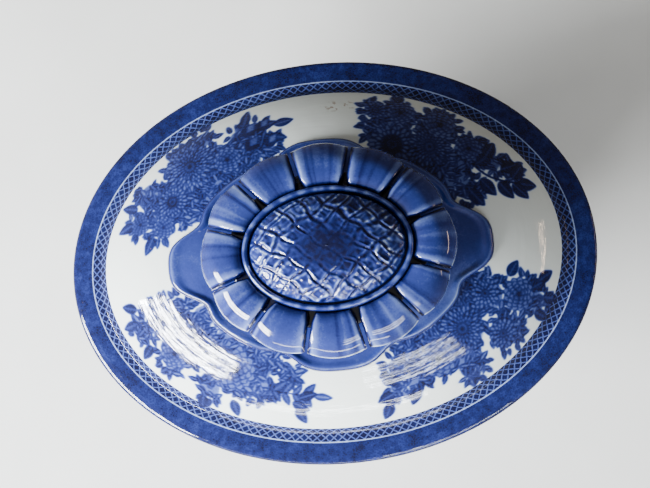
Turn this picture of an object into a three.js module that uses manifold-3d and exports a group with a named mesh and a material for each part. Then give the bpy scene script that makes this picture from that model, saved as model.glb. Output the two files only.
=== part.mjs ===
// Oval lidded soup tureen of glazed stoneware. Millimetres, +Z up, origin under the middle of the foot.
// The long axis is X and the handles are at its two ends.
import * as THREE from 'three';
import * as BufferGeometryUtils from 'three/addons/utils/BufferGeometryUtils.js';
import Module from 'manifold-3d';

const wasm = await Module();
wasm.setup();

// Driving dimensions
const RIM_HALF_LENGTH = 165;
const RIM_HALF_WIDTH = 126.5;
const COVER_Z = 140.3; // underside of the cover's rim
const GAP = 0.3; // between neighbouring pieces
const BOWL_ASPECT = 0.762; // half width over half length of the bowl and its foot
const DOME_EDGE = 145.5; // half length where the cover's flat border ends and its dome starts
const BODY_SEGMENTS = 48;
const KNOB_SEGMENTS = 36;

// Knob: a flower with its petals round a studded centre
const FLOWER_EYE = 42; // half length of the flower's centre
const EYE_ASPECT = 0.7;
const PETAL_SLOPE = 1.045; // growth of the flower's half width for each mm of half length
const PETALS = 12;
const END_PETAL_DEG = 36; // angle taken by the petal at each end of the long axis
const GROOVE = 1.8; // width of the groove between petals
const PETAL_INNER = 46.6;
const PETAL_OUTER = 70.6;
const CALYX_LENGTH = 95;
const CALYX_LOBE_DEG = 16; // half the angle that each of its four lobes takes
const CALYX_END_LOBE = 0.12; // height of the lobes at its two ends, as a share of its size
const CALYX_SIDE_LOBE = 0.09;
const CALYX_NOTCH = 0.03; // depth of the notch on each side of a lobe
const CALYX_NOTCH_DEG = 24;
const CALYX_THICKNESS = 3.6;

// Handles: two straps twisted round each other
const HANDLE_Z = 100;
const HANDLE_CENTRE_X = 118;
const HANDLE_REACH = 37;
const HANDLE_HALF_WIDTH = 36;
const HANDLE_RISE = 4;
const HANDLE_ARC_DEG = 102;
const STRAP_RADIUS = 3.6;
const STRAP_SPREAD = 7; // how much further apart the straps are at the wall than at the middle
const STRAP_TWISTS = 1;
const STRAP_STEPS = 26;
const LEAF = { length: 34, width: 18, depth: 10, tiltDeg: 22, arcDeg: 31, fromMiddle: 16 };

const OVAL_OFFSET = RIM_HALF_LENGTH - RIM_HALF_WIDTH;
const radians = THREE.MathUtils.degToRad;

// Half width of each oval, from its half length
const bowlMinor = (a) => a * BOWL_ASPECT;
const domeAspect = (DOME_EDGE - OVAL_OFFSET) / DOME_EDGE;
const coverMinor = (a) => (a > DOME_EDGE ? a - OVAL_OFFSET : a * domeAspect);
const flowerMinor = (a) =>
  a < FLOWER_EYE ? a * EYE_ASPECT : FLOWER_EYE * EYE_ASPECT + (a - FLOWER_EYE) * PETAL_SLOPE;

// Points along a smooth curve through [half length, height] pairs
function smooth(pairs, count) {
  const curve = new THREE.CatmullRomCurve3(pairs.map(([a, z]) => new THREE.Vector3(a, z, 0)));
  return curve.getPoints(count).map((p) => [p.x, p.y]);
}

// A manifold solid from a closed three.js geometry, turned inside out if its faces point in
function solidFrom(geometry) {
  const bare = geometry.clone();
  bare.deleteAttribute('normal');
  bare.deleteAttribute('uv');
  const merged = BufferGeometryUtils.mergeVertices(bare, 1e-4);
  const position = merged.getAttribute('position');
  const corner = [new THREE.Vector3(), new THREE.Vector3(), new THREE.Vector3()];
  const triangles = [];
  let volume = 0;
  for (let i = 0; i < merged.index.count; i += 3) {
    const triangle = [0, 1, 2].map((k) => merged.index.getX(i + k));
    if (new Set(triangle).size < 3) continue;
    triangle.forEach((vertex, k) => corner[k].fromBufferAttribute(position, vertex));
    volume += corner[0].dot(corner[1].clone().cross(corner[2]));
    triangles.push(triangle);
  }
  if (volume < 0) triangles.forEach((triangle) => triangle.reverse());
  return new wasm.Manifold(
    new wasm.Mesh({
      numProp: 3,
      vertProperties: new Float32Array(position.array),
      triVerts: new Uint32Array(triangles.flat()),
    }),
  );
}

// Solid whose level sections are ovals: a lathe profile of [half length, height] pairs, narrowed in Y
function ovalSolid(profile, minor, segments) {
  const points = profile.map(([a, z]) => new THREE.Vector2(a, z));
  const geometry = new THREE.LatheGeometry(points, segments, Math.PI / 2);
  geometry.rotateX(Math.PI / 2);
  const position = geometry.getAttribute('position');
  for (let i = 0; i < position.count; i++) {
    const a = profile[i % profile.length][0];
    if (a > 0) position.setY(i, (position.getY(i) * minor(a)) / a);
  }
  return solidFrom(geometry);
}

// A bump of height 1 at 0 that falls away on both sides, squarer at a higher power
const hump = (distance, power) => Math.exp(-(Math.abs(distance) ** power));
const closedRing = (pairs) => [...pairs, pairs[0]];
const raise = (pairs, height) => pairs.map(([a, z]) => [a, z + height]);

const glaze = (color, roughness = 0.12) =>
  new THREE.MeshStandardMaterial({ color, roughness, metalness: 0 });
const whiteGlaze = glaze(0xe4eaec);
const blueGlaze = glaze(0x4a6ab0);
const darkGlaze = glaze(0x33509a);

const tureen = new THREE.Group();

function addPiece(name, solid, material) {
  const shape = solid.getMesh();
  const geometry = new THREE.BufferGeometry();
  geometry.setAttribute('position', new THREE.BufferAttribute(new Float32Array(shape.vertProperties), 3));
  geometry.setIndex(Array.from(shape.triVerts));
  geometry.computeVertexNormals();
  const mesh = new THREE.Mesh(geometry, material);
  mesh.name = name;
  tureen.add(mesh);
}

// Foot ring: spreading oval ring with a flat underside
const FOOT_TOP = 22;
const footProfile = closedRing([
  [84, 0],
  [91, 0],
  ...smooth([[93.5, 2.5], [91.5, 6.5], [84, 12.5], [79.5, 17.5], [79, FOOT_TOP]], 6),
  [71, FOOT_TOP],
  [73, 14],
]);
addPiece('foot_ring', ovalSolid(footProfile, bowlMinor, BODY_SEGMENTS), darkGlaze);

// Bowl: waisted body with an everted ledge for the cover
const LEDGE_Z = COVER_Z - GAP;
const bowlWall = smooth(
  [[75, FOOT_TOP + GAP], [89, 28], [109, 46], [121, 72], [124.5, 100], [132, 121], [149, 132.5], [161, 136]],
  13,
);
const bowlCavity = smooth([[156, LEDGE_Z], [137, 132], [122, 112], [117.5, 88], [108, 56], [86, 33], [66, 28]], 11);
const bowlProfile = [[0, FOOT_TOP + GAP], ...bowlWall, [162.8, 138.4], [161.6, LEDGE_Z], ...bowlCavity, [0, 28]];
addPiece('bowl_body', ovalSolid(bowlProfile, bowlMinor, BODY_SEGMENTS), whiteGlaze);
const wallClearance = [
  [0, 10],
  ...bowlWall.map(([a, z]) => [a + GAP / BOWL_ASPECT, z]),
  [162, LEDGE_Z + 20],
  [0, LEDGE_Z + 20],
];
const besideWall = ovalSolid(wallClearance, bowlMinor, BODY_SEGMENTS);

// Half length of the bowl's outer wall at a height
function wallLengthAt(height) {
  const above = bowlWall.findIndex(([, z]) => z > height);
  const [lowLength, lowZ] = bowlWall[above - 1];
  const [highLength, highZ] = bowlWall[above];
  return lowLength + ((highLength - lowLength) * (height - lowZ)) / (highZ - lowZ);
}

// One strap of a handle: it winds round the handle's arc, and ends inside the wall
function strapCurve(side, phase) {
  const points = [];
  for (let i = 0; i <= STRAP_STEPS; i++) {
    const along = (2 * i) / STRAP_STEPS - 1;
    const arc = radians(HANDLE_ARC_DEG) * along;
    const twist = Math.PI * (2 * STRAP_TWISTS * (i / STRAP_STEPS) + phase);
    const offset = STRAP_RADIUS + GAP + STRAP_SPREAD * along ** 4;
    const reach = HANDLE_REACH + offset * Math.sin(twist);
    points.push(
      new THREE.Vector3(
        side * (HANDLE_CENTRE_X + reach * Math.cos(arc)),
        (HANDLE_HALF_WIDTH + offset * Math.sin(twist)) * Math.sin(arc),
        HANDLE_Z + HANDLE_RISE * Math.cos(arc) + offset * Math.cos(twist),
      ),
    );
  }
  return new THREE.CatmullRomCurve3(points);
}

function strapSolid(curve, radius) {
  const section = new THREE.Shape().absarc(0, 0, radius, 0, 2 * Math.PI);
  return solidFrom(
    new THREE.ExtrudeGeometry(section, { steps: STRAP_STEPS, curveSegments: 5, extrudePath: curve }),
  );
}

// A leaf lying on the wall over the end of a strap, pointing away from the handle
function leafSolid(side, front, up) {
  const leaf = new THREE.SphereGeometry(0.5, 12, 8);
  leaf.scale(LEAF.length, LEAF.width, LEAF.depth);
  const height = HANDLE_Z + up * LEAF.fromMiddle;
  const wallLength = wallLengthAt(height);
  const angle = radians(LEAF.arcDeg);
  const middle = new THREE.Vector3(
    side * wallLength * Math.cos(angle),
    front * bowlMinor(wallLength) * Math.sin(angle),
    height,
  );
  const outward = new THREE.Vector3(side * Math.cos(angle) * BOWL_ASPECT, front * Math.sin(angle), 0).normalize();
  const level = new THREE.Vector3(-outward.y, outward.x, 0).multiplyScalar(side * front);
  const tilt = radians(LEAF.tiltDeg) * up;
  const along = level.multiplyScalar(Math.cos(tilt)).add(new THREE.Vector3(0, 0, Math.sin(tilt)));
  const across = outward.clone().cross(along);
  leaf.applyMatrix4(new THREE.Matrix4().makeBasis(along, across, outward).setPosition(middle));
  return solidFrom(leaf);
}

for (const [hand, side] of [['left', -1], ['right', 1]]) {
  let clearance = besideWall;
  for (const [strand, phase] of [['a', 0], ['b', 1]]) {
    const curve = strapCurve(side, phase);
    addPiece(`handle_${hand}_strap_${strand}`, strapSolid(curve, STRAP_RADIUS).subtract(besideWall), blueGlaze);
    clearance = clearance.add(strapSolid(curve, STRAP_RADIUS + GAP));
  }
  let number = 1;
  for (const front of [-1, 1]) {
    for (const up of [-1, 1]) {
      addPiece(`handle_${hand}_leaf_${number}`, leafSolid(side, front, up).subtract(clearance), blueGlaze);
      number += 1;
    }
  }
}

// Cover: rolled rim, flat border, dome; the underside has a step for the locating flange
const STEP_Z = 6;
const domeTop = smooth([[DOME_EDGE, 10], [142, 13.2], [126, 26], [104, 38.5], [76, 47.8], [40, 52.8], [18, 53.8]], 12);
const coverProfile = raise(
  [
    [157.5, 0],
    [163, 0],
    ...smooth([[164.7, 1.3], [165, 3.2], [163.6, 5.6], [159, 7.2]], 4),
    [152.5, 8.6],
    ...domeTop,
    [0, 54],
    [0, 49.5],
    ...smooth([[20, 49.2], [56, 46.4], [90, 38], [116, 23.5], [129.5, 11.5]], 8),
    [130.5, STEP_Z],
    [141, STEP_Z],
    [150, 2.8],
    [157.5, 0],
  ],
  COVER_Z,
);
addPiece('cover_shell', ovalSolid(coverProfile, coverMinor, BODY_SEGMENTS), whiteGlaze);

// Locating flange: ring under the cover that drops into the bowl's mouth
const flangeProfile = closedRing([[131.5, 5.7], [128.5, -8.4], [130, -9.2], [132.8, -8.4], [136.5, 5.7]]);
const flangeMinor = (a) => a - OVAL_OFFSET + 2.5;
addPiece('cover_flange', ovalSolid(raise(flangeProfile, COVER_Z), flangeMinor, BODY_SEGMENTS), whiteGlaze);

// Calyx: a lobed leaf collar that lies on the dome
const dome = [...domeTop.slice(2), [0, 54]];
const collar = [
  ...raise(dome, GAP),
  ...raise([...dome].reverse(), GAP + CALYX_THICKNESS).map(([a, z]) => [a, Math.max(z, a < 46 ? 57.6 : 0)]),
];
const calyxOutline = [];
for (let degrees = 0; degrees < 360; degrees += 5) {
  const t = radians(degrees);
  const fromEnd = 90 - Math.abs((degrees % 180) - 90);
  const fromSide = 90 - fromEnd;
  const lobes =
    CALYX_END_LOBE * hump(fromEnd / CALYX_LOBE_DEG, 4) + CALYX_SIDE_LOBE * hump(fromSide / CALYX_LOBE_DEG, 4);
  const notches = hump((fromEnd - CALYX_NOTCH_DEG) / 6, 2) + hump((fromSide - CALYX_NOTCH_DEG) / 6, 2);
  const length = CALYX_LENGTH * (1 - CALYX_END_LOBE + lobes - CALYX_NOTCH * notches);
  calyxOutline.push(new THREE.Vector2(length * Math.cos(t), length * domeAspect * Math.sin(t)));
}
const calyxPrism = new THREE.ExtrudeGeometry(new THREE.Shape(calyxOutline), { depth: 100, bevelEnabled: false });
calyxPrism.translate(0, 0, COVER_Z);
const collarSolid = ovalSolid(raise(closedRing(collar.slice(0, -1)), COVER_Z), coverMinor, BODY_SEGMENTS);
addPiece('knob_calyx', collarSolid.intersect(solidFrom(calyxPrism)), blueGlaze);

// Stem: the neck that flares into a cup under the petals
const CUP_Z = 76.5;
const stemProfile = raise(
  [
    [0, 58.2],
    [30, 58.2],
    ...smooth([[27.5, 61], [28, 65], [36, 69], [50, 72.4], [55, 73.8]], 6),
    [54, CUP_Z - 2],
    [47.5, CUP_Z],
    [0, CUP_Z],
  ],
  COVER_Z,
);
addPiece('knob_stem', ovalSolid(stemProfile, flowerMinor, KNOB_SEGMENTS), darkGlaze);

// Petals: slices of one ring, rounded at their inner corners and scalloped at their outer ends
const petalRing = closedRing(
  raise(
    [
      [PETAL_INNER, CUP_Z + GAP],
      [54.4, CUP_Z - 2 + GAP],
      [62, 72],
      [68.8, 69.2],
      ...smooth([[PETAL_OUTER, 70.6], [69.4, 75], [64.4, 80.5], [56, 83.6], [PETAL_INNER, 83.6]], 6),
    ],
    COVER_Z,
  ),
);
const petalRingSolid = ovalSolid(petalRing, flowerMinor, 2 * KNOB_SEGMENTS);

function grooveAngles() {
  const sidePetal = (360 - 2 * END_PETAL_DEG) / (PETALS - 2);
  const angles = [-END_PETAL_DEG / 2];
  for (let i = 0; i < PETALS; i++) {
    const width = i % (PETALS / 2) === 0 ? END_PETAL_DEG : sidePetal;
    angles.push(angles[i] + width);
  }
  return angles;
}

function petalOutline(startDeg, endDeg) {
  const middle = radians((startDeg + endDeg) / 2);
  const halfAngle = radians((endDeg - startDeg) / 2);
  const place = (a, across) => {
    const halfGroove = GROOVE / 2 / a;
    const t = middle + across * (halfAngle - halfGroove);
    return new THREE.Vector2(a * Math.cos(t), flowerMinor(a) * Math.sin(t));
  };
  const start = PETAL_INNER - 2;
  const edge = [[start, 0.8], [PETAL_INNER + 1, 0.9], [PETAL_INNER + 3, 1], [58, 1], [66, 1]];
  const scallop = [1, 0.5, 0, -0.5, -1].map((across) => [PETAL_OUTER + 1 - 2.4 * across ** 2, across]);
  const points = [...edge, ...scallop, ...edge.reverse().map(([a, across]) => [a, -across])];
  return new THREE.Shape(points.map(([a, across]) => place(a, across)));
}

const grooves = grooveAngles();
for (let i = 0; i < PETALS; i++) {
  const outline = petalOutline(grooves[i], grooves[i + 1]);
  const wedge = new THREE.ExtrudeGeometry(outline, { depth: 40, bevelEnabled: false });
  wedge.translate(0, 0, COVER_Z + 60);
  const name = `petal_${String(i + 1).padStart(2, '0')}`;
  addPiece(name, petalRingSolid.intersect(solidFrom(wedge)), blueGlaze);
}

// Ridge: the bead between the petals and the flower's centre
const ridgeTop = smooth([[46.2, 82], [45.8, 84.4], [44.4, 85.4], [43.1, 84.4]], 4);
const ridgeProfile = closedRing([[42.6, CUP_Z + GAP], [46.2, CUP_Z + GAP], ...ridgeTop, [42.6, 82]]);
addPiece('knob_ridge', ovalSolid(raise(ridgeProfile, COVER_Z), flowerMinor, KNOB_SEGMENTS), blueGlaze);

// Boss: the convex studded centre
const bossProfile = [
  [0, CUP_Z + GAP],
  [42, CUP_Z + GAP],
  ...smooth([[42.1, 80], [39.5, 86], [33, 91], [22, 94.8], [8, 96.4]], 6),
  [0, 96.6],
];
addPiece('knob_boss', ovalSolid(raise(bossProfile, COVER_Z), flowerMinor, KNOB_SEGMENTS), darkGlaze);

export default tureen;
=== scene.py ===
"""Oval blue-and-white soup tureen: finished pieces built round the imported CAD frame.

Every shape below is worked out in millimetres in the part's own frame, +Z up and +X along the
tureen, and becomes metres when its mesh is made. Tone is the strength of the cobalt: 0 is bare
white glaze and 1 is the darkest blue. It is stored on each mesh as the attribute "tone".
"""

import math

import bpy
import numpy as np
from mathutils import Matrix, Vector


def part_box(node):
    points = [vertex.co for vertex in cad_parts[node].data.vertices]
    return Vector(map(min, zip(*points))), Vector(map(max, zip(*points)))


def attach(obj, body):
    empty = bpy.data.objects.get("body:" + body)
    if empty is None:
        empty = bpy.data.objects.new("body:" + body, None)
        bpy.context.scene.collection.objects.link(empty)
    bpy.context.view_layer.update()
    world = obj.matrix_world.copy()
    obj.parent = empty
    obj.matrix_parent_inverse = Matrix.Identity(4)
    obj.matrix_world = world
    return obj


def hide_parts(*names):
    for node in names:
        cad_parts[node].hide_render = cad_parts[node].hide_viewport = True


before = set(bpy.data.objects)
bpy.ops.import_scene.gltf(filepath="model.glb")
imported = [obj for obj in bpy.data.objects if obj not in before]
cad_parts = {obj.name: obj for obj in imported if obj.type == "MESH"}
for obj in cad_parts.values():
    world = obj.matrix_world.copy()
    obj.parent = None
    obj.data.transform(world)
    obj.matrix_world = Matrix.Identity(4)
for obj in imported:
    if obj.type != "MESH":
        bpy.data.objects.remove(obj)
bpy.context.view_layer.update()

MM = 0.001

# Driving dimensions of the cover and bowl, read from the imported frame
COVER_LOW, COVER_HIGH = (np.array(corner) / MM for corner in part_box("cover_shell"))
RIM_LENGTH, RIM_WIDTH = COVER_HIGH[:2]
COVER_Z = COVER_LOW[2]
OVAL_OFFSET = RIM_LENGTH - RIM_WIDTH
DOME_EDGE = 145.5
DOME_ASPECT = (DOME_EDGE - OVAL_OFFSET) / DOME_EDGE
BOWL_ASPECT = 0.762
FLOWER_EYE = 42.0
EYE_ASPECT = 0.7
PETAL_SLOPE = 1.045
LEDGE_Z = COVER_Z - 0.3


def bowl_minor(a):
    return a * BOWL_ASPECT


def cover_minor(a):
    return np.where(a > DOME_EDGE, a - OVAL_OFFSET, a * DOME_ASPECT)


def flower_minor(a):
    return np.where(a < FLOWER_EYE, a * EYE_ASPECT, FLOWER_EYE * EYE_ASPECT + (a - FLOWER_EYE) * PETAL_SLOPE)


def step_up(low, high, value):
    """0 below low, 1 above high and a smooth rise between; high may be the smaller."""
    t = np.clip((value - low) / (high - low), 0, 1)
    return t * t * (3 - 2 * t)


# ---------------------------------------------------------------- curves and meshes

def evenly(points, step):
    """The polyline resampled with points no more than step apart."""
    points = np.asarray(points, float)
    along = np.concatenate([[0], np.cumsum(np.linalg.norm(np.diff(points, axis=0), axis=1))])
    count = max(int(math.ceil(along[-1] / step)), 1) + 1
    places = np.linspace(0, along[-1], count)
    return np.stack([np.interp(places, along, column) for column in points.T], axis=1)


def smooth(points, step):
    """Centripetal Catmull-Rom curve through the points, resampled."""
    p = np.asarray(points, float)
    p = np.vstack([2 * p[0] - p[1], p, 2 * p[-1] - p[-2]])
    knots = np.concatenate([[0], np.cumsum(np.linalg.norm(np.diff(p, axis=0), axis=1) ** 0.5)])

    def between(left, right, low, high, t):
        return ((high - t) * left + (t - low) * right) / (high - low)

    pieces = []
    for i in range(1, len(p) - 2):
        t = np.linspace(knots[i], knots[i + 1], 25)[:-1, None]
        first = [between(p[k], p[k + 1], knots[k], knots[k + 1], t) for k in (i - 1, i, i + 1)]
        second = [between(first[j], first[j + 1], knots[k], knots[k + 2], t)
                  for j, k in enumerate((i - 1, i))]
        pieces.append(between(second[0], second[1], knots[i], knots[i + 1], t))
    return evenly(np.vstack(pieces + [p[-2:-1]]), step)


def oval_row(a, b, z, columns):
    """One level oval of vertices; one column is a pole on the axis."""
    t = 2 * np.pi * np.arange(columns) / columns
    return np.stack([a * np.cos(t), b * np.sin(t), np.full(columns, float(z))], axis=1)


def join_rows(lower, upper, start_low, start_up):
    """Faces between two rows whose column counts are equal or a multiple of each other."""
    n, m = len(lower), len(upper)
    if n == m:
        j = np.arange(n)
        k = (j + 1) % n
        return np.stack([start_low + j, start_low + k, start_up + k, start_up + j], axis=1).tolist()
    if m == 1:
        return [[start_low + j, start_low + (j + 1) % n, start_up] for j in range(n)]
    if n == 1:
        return [[start_low, start_up + (j + 1) % m, start_up + j] for j in range(m)]
    faces = []
    for j in range(min(n, m)):
        if n > m:
            run = [start_low + (j * n // m + i) % n for i in range(n // m + 1)]
            faces.append(run + [start_up + (j + 1) % m, start_up + j])
        else:
            run = [start_up + (j * m // n + i) % m for i in range(m // n + 1)]
            faces.append([start_low + j, start_low + (j + 1) % n] + run[::-1])
    return faces


def mesh_piece(name, vertices, faces, tone, material, extra=None):
    """A smooth-shaded object with its tone, from vertices in millimetres."""
    mesh = bpy.data.meshes.new(name)
    mesh.from_pydata((np.asarray(vertices) * MM).tolist(), [], faces)
    mesh.polygons.foreach_set("use_smooth", np.ones(len(mesh.polygons), bool))
    for key, values in {"tone": tone, **(extra or {})}.items():
        layer = mesh.attributes.new(key, "FLOAT", "POINT")
        layer.data.foreach_set("value", np.asarray(values, np.float32))
    mesh.materials.append(material)
    piece = bpy.data.objects.new(name, mesh)
    bpy.context.scene.collection.objects.link(piece)
    return piece


def row_faces(rows, closed=False):
    """Faces over a list of rows, and round from the last row to the first if closed."""
    starts = np.concatenate([[0], np.cumsum([len(row) for row in rows])])
    faces = []
    last = len(rows) if closed else len(rows) - 1
    for i in range(last):
        k = (i + 1) % len(rows)
        faces += join_rows(rows[i], rows[k], int(starts[i]), int(starts[k]))
    return faces


def finish_piece(piece, body, slot, *nodes):
    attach(piece, body)
    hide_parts(*nodes)
    return piece


# ---------------------------------------------------------------- cobalt painting

class Painting:
    """Cobalt brushed on at points x, y in millimetres; later strokes cover earlier ones."""

    def __init__(self, x, y, seed):
        self.x, self.y = x, y
        self.tone = np.zeros(len(x))
        self.covered = np.zeros(len(x))
        self.random = np.random.default_rng(seed)

    def near(self, at, turn, reach):
        """Points within reach of a place, as indices and coordinates along and across a direction."""
        near = np.flatnonzero((np.abs(self.x - at[0]) < reach) & (np.abs(self.y - at[1]) < reach))
        dx, dy = self.x[near] - at[0], self.y[near] - at[1]
        c, s = math.cos(turn), math.sin(turn)
        return near, dx * c + dy * s, dy * c - dx * s

    def lay(self, near, cover, tone):
        self.tone[near] += cover * (tone - self.tone[near])
        self.covered[near] = np.maximum(self.covered[near], cover)

    def leaf(self, at, turn, length, width, tone=0.5, rim=0.85, vein=0.3, fat=0.8, curl=0.0):
        """A pointed leaf from its base: dark outline, paler inside, with a pale midrib and side veins."""
        near, u, v = self.near(at, turn, length + 1)
        part = np.clip(u / length, 0, 1)
        v = v - curl * length * part * part
        half = 0.5 * width * np.sin(np.pi * part ** fat) ** 0.85
        edge = np.abs(v) - half
        cover = np.clip(0.5 - edge / 0.55, 0, 1) * (u > 0) * (u < length)
        inside = tone + (rim - tone) * step_up(-0.95, -0.15, edge)
        inside = inside - vein * np.exp(-(v / 0.3) ** 2) * (part < 0.9)
        inside = inside + 0.12 * np.sin(2 * np.pi * (u - 0.9 * np.abs(v)) / 2.1) * (np.abs(v) > 0.5)
        self.lay(near, cover, np.clip(inside, 0.05, 1))

    def leaves(self, places, length, width, tone, rim, vein):
        """Separate leaves of one size, each from a place (x, y) and pointing its own way."""
        for x, y, turn in places:
            self.leaf((x, y), turn, length, width, tone, rim, vein)

    def dab(self, at, turn, length, width, tone):
        """One small oval touch of the brush."""
        near, u, v = self.near(at, turn, max(length, width))
        distance = np.hypot(u / (0.5 * length), v / (0.5 * width))
        self.lay(near, np.clip((1.15 - distance) * 3, 0, 1), tone)

    def line(self, points, start, end, tone):
        """A brushed line that tapers from one width to another."""
        path = smooth(points, 0.6)
        for i, at in enumerate(path):
            width = start + (end - start) * i / len(path)
            self.dab(at, 0, width, width, tone)

    def daisy(self, at, radius, petals=18, rings=3, tone=0.24, eye=0.5):
        """A many-petalled flower: rings of narrow petals round a dark stippled eye."""
        turn = self.random.uniform(0, 6.28)
        self.dab(at, 0, 1.7 * radius, 1.7 * radius, 0.6)
        for ring in range(rings):
            outer = radius * (1 - 0.76 * ring / rings)
            inner = outer * 0.42
            count = petals - 3 * ring
            width = 2 * np.pi * outer * 0.72 / count * 1.25
            for k in range(count):
                angle = turn + 2 * np.pi * (k + 0.5 * (ring % 2)) / count + self.random.normal(0, 0.05)
                base = (at[0] + inner * math.cos(angle), at[1] + inner * math.sin(angle))
                length = (outer - inner) * self.random.uniform(0.88, 1.14)
                self.leaf(base, angle, length, width, tone, 0.95, 0.0, 1.35)
        self.dab(at, 0, radius * eye, radius * eye, 0.9)
        for k in range(9):
            angle = 2 * np.pi * k / 9
            place = (at[0] + 0.16 * radius * math.cos(angle), at[1] + 0.16 * radius * math.sin(angle))
            self.dab(place, 0, 0.9, 0.9, 0.45)

    def rose(self, at, radius, tone=0.16):
        """A full flower of overlapping scalloped petals, darker towards its heart."""
        turn = self.random.uniform(0, 6.28)
        for ring, (share, count) in enumerate([(0.84, 13), (0.66, 11), (0.47, 8), (0.27, 5)]):
            for k in range(count):
                angle = turn + 2 * np.pi * (k + 0.5 * ring) / count
                place = (at[0] + share * radius * math.cos(angle), at[1] + share * radius * math.sin(angle))
                self.petal(place, angle, radius * (0.27 - 0.02 * ring), tone + 0.08 * ring)
        self.dab(at, 0, 0.3 * radius, 0.3 * radius, 0.9)

    def petal(self, at, turn, radius, tone):
        near, u, v = self.near(at, turn, radius * 1.2)
        wave = 1 + 0.07 * np.cos(5 * np.arctan2(v, u))
        edge = np.hypot(u, v) - radius * wave
        inside = tone + 0.45 * step_up(0.3 * radius, -0.9 * radius, u)
        inside = inside + (0.88 - inside) * step_up(-0.85, -0.1, edge)
        inside = inside + 0.1 * np.sin(9 * np.arctan2(v, u + radius))
        self.lay(near, np.clip(0.5 - edge / 0.55, 0, 1), np.clip(inside, 0.05, 1))

    def bud(self, at, turn, length):
        self.leaf(at, turn, length, length * 0.62, 0.35, 0.85, 0.0, 0.6)
        for side in (-0.5, 0.5):
            self.leaf(at, turn + side, length * 0.7, length * 0.24, 0.8, 0.9, 0.0)

    def sprig(self, at, turn, length, leaves=4, size=6.5, bend=0.3):
        """A curved stem with paired leaves and one at its tip."""
        points = []
        for i in range(4):
            part = i / 3
            angle = turn + bend * part
            points.append((at[0] + length * part * math.cos(angle), at[1] + length * part * math.sin(angle)))
        self.line(points, 0.9, 0.6, 0.85)
        path = smooth(points, 0.5)
        for i in range(leaves):
            part = (i + 1) / (leaves + 1)
            place = path[int(part * (len(path) - 1))]
            angle = turn + bend * part * 1.5
            for side in (-1, 1):
                grow = size * self.random.uniform(0.8, 1.15)
                spread = side * self.random.uniform(0.65, 0.95)
                self.leaf(place, angle + spread, grow, grow * 0.46, 0.55, 0.9, 0.28, curl=0.12 * side)
        self.leaf(path[-1], turn + 1.5 * bend, size * 1.2, size * 0.5, 0.5, 0.9, 0.3)

    def inside(self, blobs, margin=0.0):
        """True at the points inside any of the round blobs (x, y, radius), each grown by a margin."""
        found = np.zeros(len(self.x), bool)
        for x, y, radius in blobs:
            found |= np.hypot(self.x - x, self.y - y) < radius + margin
        return found

    def thicket(self, blobs, density=0.1, size=6.8, wash=0.3):
        """Undergrowth over round blobs: a soft wash, leaves pointing out round it and leaves inside it."""
        body = np.flatnonzero(self.inside(blobs, -3.5))
        self.lay(body, 0.9, wash)
        middle = np.mean([blob[:2] for blob in blobs], axis=0)
        for x, y, radius in blobs:
            outward = math.atan2(y - middle[1], x - middle[0])
            for k in range(int(radius * 0.9)):
                turn = outward + self.random.normal(0, 0.9)
                reach = radius - 0.35 * size
                at = (x + reach * math.cos(turn), y + reach * math.sin(turn))
                grow = size * self.random.uniform(0.6, 1.0)
                self.leaf(at, turn + self.random.normal(0, 0.35), grow, grow * 0.5, 0.7, 0.95, 0.55)
        places = np.flatnonzero(self.inside(blobs, -2.0))
        area = len(places) * PAINT_STEP ** 2
        for index in self.random.choice(places, int(area * density)):
            at = (self.x[index], self.y[index])
            grow = size * self.random.uniform(0.55, 1.05)
            turn = self.random.uniform(0, 6.28)
            self.leaf(at, turn, grow, grow * self.random.uniform(0.4, 0.56), self.random.uniform(0.3, 0.85),
                      0.95, 0.6, curl=self.random.uniform(-0.2, 0.2))


def blurred(grid, passes):
    """Repeated small box blur over rows and round the columns."""
    for _ in range(passes):
        grid = (np.roll(grid, 1, 1) + 2 * grid + np.roll(grid, -1, 1)) / 4
        padded = np.pad(grid, ((1, 1), (0, 0)), "edge")
        grid = (padded[:-2] + 2 * padded[1:-1] + padded[2:]) / 4
    return grid


def fired(painting, rows, columns):
    """The tone after firing: the cobalt flows, so edges soften and close gaps between strokes fill."""
    tone = painting.tone.reshape(rows, columns)
    cover = painting.covered.reshape(rows, columns)
    halo = blurred(cover, 9)
    flow = 0.26 * step_up(0.45, 0.95, blurred(cover, 5)) + 0.08 * halo
    softened = blurred(tone, 1)
    return np.maximum(softened, flow).ravel()


# ---------------------------------------------------------------- materials

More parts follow.
